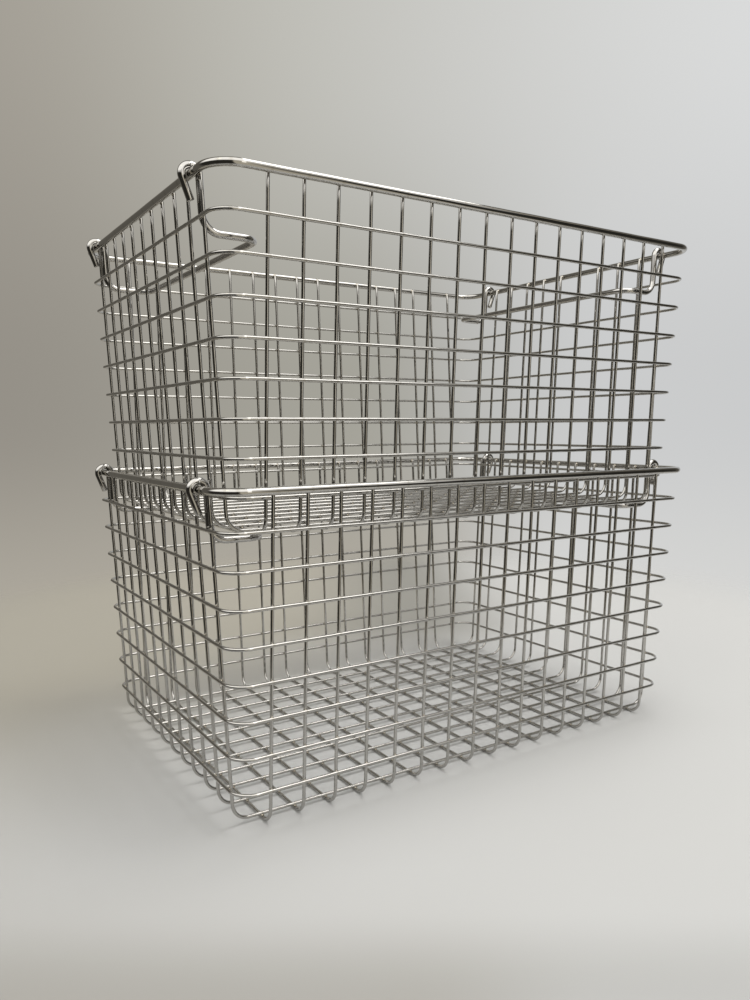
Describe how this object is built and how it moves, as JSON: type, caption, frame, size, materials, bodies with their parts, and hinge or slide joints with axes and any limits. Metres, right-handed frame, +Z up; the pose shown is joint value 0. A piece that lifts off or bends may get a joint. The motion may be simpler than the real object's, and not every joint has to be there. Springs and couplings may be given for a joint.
{
  "type": "stacking wire basket",
  "caption": "Stacking rectangular wire baskets of welded steel mesh under a heavy rim, with a hooked bail at each end that swings in to carry the basket above.",
  "frame": {"origin": "on the floor, under the middle of the stack", "axes": "+Z up, X along the long walls of the baskets, Y along the short walls that carry the bails"},
  "size_m": [0.4658, 0.3158, 0.4315],
  "materials": {
    "rim_steel": "bright electropolished steel",
    "mesh_steel": "electropolished drawn steel wire",
    "bail_steel": "bright electropolished steel"
  },
  "bodies": {
    "lower_basket": {"lower_rim": "rim_steel", "lower_hoop_1": "mesh_steel", "lower_hoop_2": "mesh_steel", "lower_hoop_3": "mesh_steel", "lower_hoop_4": "mesh_steel", "lower_hoop_5": "mesh_steel", "lower_hoop_6": "mesh_steel", "lower_hoop_7": "mesh_steel", "lower_crosswise_wire_01": "mesh_steel", "lower_crosswise_wire_02": "mesh_steel", "lower_crosswise_wire_03": "mesh_steel", "lower_crosswise_wire_04": "mesh_steel", "lower_crosswise_wire_05": "mesh_steel", "lower_crosswise_wire_06": "mesh_steel", "lower_crosswise_wire_07": "mesh_steel", "lower_crosswise_wire_08": "mesh_steel", "lower_crosswise_wire_09": "mesh_steel", "lower_crosswise_wire_10": "mesh_steel", "lower_crosswise_wire_11": "mesh_steel", "lower_crosswise_wire_12": "mesh_steel", "lower_crosswise_wire_13": "mesh_steel", "lower_crosswise_wire_14": "mesh_steel", "lower_crosswise_wire_15": "mesh_steel", "lower_crosswise_wire_16": "mesh_steel", "lower_lengthwise_mat": "mesh_steel"},
    "lower_left_bail": {"lower_left_bail": "bail_steel"},
    "lower_right_bail": {"lower_right_bail": "bail_steel"},
    "upper_basket": {"upper_rim": "rim_steel", "upper_hoop_1": "mesh_steel", "upper_hoop_2": "mesh_steel", "upper_hoop_3": "mesh_steel", "upper_hoop_4": "mesh_steel", "upper_hoop_5": "mesh_steel", "upper_hoop_6": "mesh_steel", "upper_hoop_7": "mesh_steel", "upper_crosswise_wire_01": "mesh_steel", "upper_crosswise_wire_02": "mesh_steel", "upper_crosswise_wire_03": "mesh_steel", "upper_crosswise_wire_04": "mesh_steel", "upper_crosswise_wire_05": "mesh_steel", "upper_crosswise_wire_06": "mesh_steel", "upper_crosswise_wire_07": "mesh_steel", "upper_crosswise_wire_08": "mesh_steel", "upper_crosswise_wire_09": "mesh_steel", "upper_crosswise_wire_10": "mesh_steel", "upper_crosswise_wire_11": "mesh_steel", "upper_crosswise_wire_12": "mesh_steel", "upper_crosswise_wire_13": "mesh_steel", "upper_crosswise_wire_14": "mesh_steel", "upper_crosswise_wire_15": "mesh_steel", "upper_crosswise_wire_16": "mesh_steel", "upper_lengthwise_mat": "mesh_steel"},
    "upper_left_bail": {"upper_left_bail": "bail_steel"},
    "upper_right_bail": {"upper_right_bail": "bail_steel"}
  },
  "joints": [
    {"name": "upper_basket_lift", "type": "slide", "parent": "lower_basket", "child": "upper_basket", "axis": [0, 0, 1], "range_m": [0, 0.3]},
    {"name": "lower_left_bail_swing", "type": "hinge", "parent": "lower_basket", "child": "lower_left_bail", "pos_m": [-0.22475, 0, 0.22732], "axis": [0, -1, 0], "range_deg": [0, 309]},
    {"name": "lower_right_bail_swing", "type": "hinge", "parent": "lower_basket", "child": "lower_right_bail", "pos_m": [0.22475, 0, 0.22732], "axis": [0, 1, 0], "range_deg": [0, 309]},
    {"name": "upper_left_bail_swing", "type": "hinge", "parent": "upper_basket", "child": "upper_left_bail", "pos_m": [-0.22475, 0, 0.42328], "axis": [0, -1, 0], "range_deg": [0, 309]},
    {"name": "upper_right_bail_swing", "type": "hinge", "parent": "upper_basket", "child": "upper_right_bail", "pos_m": [0.22475, 0, 0.42328], "axis": [0, 1, 0], "range_deg": [0, 309]}
  ],
  "couplings": [
    {"joint": "lower_left_bail_swing", "follows": "upper_basket_lift", "rad_per_m": 17.97},
    {"joint": "lower_right_bail_swing", "follows": "upper_basket_lift", "rad_per_m": 17.97}
  ]
}
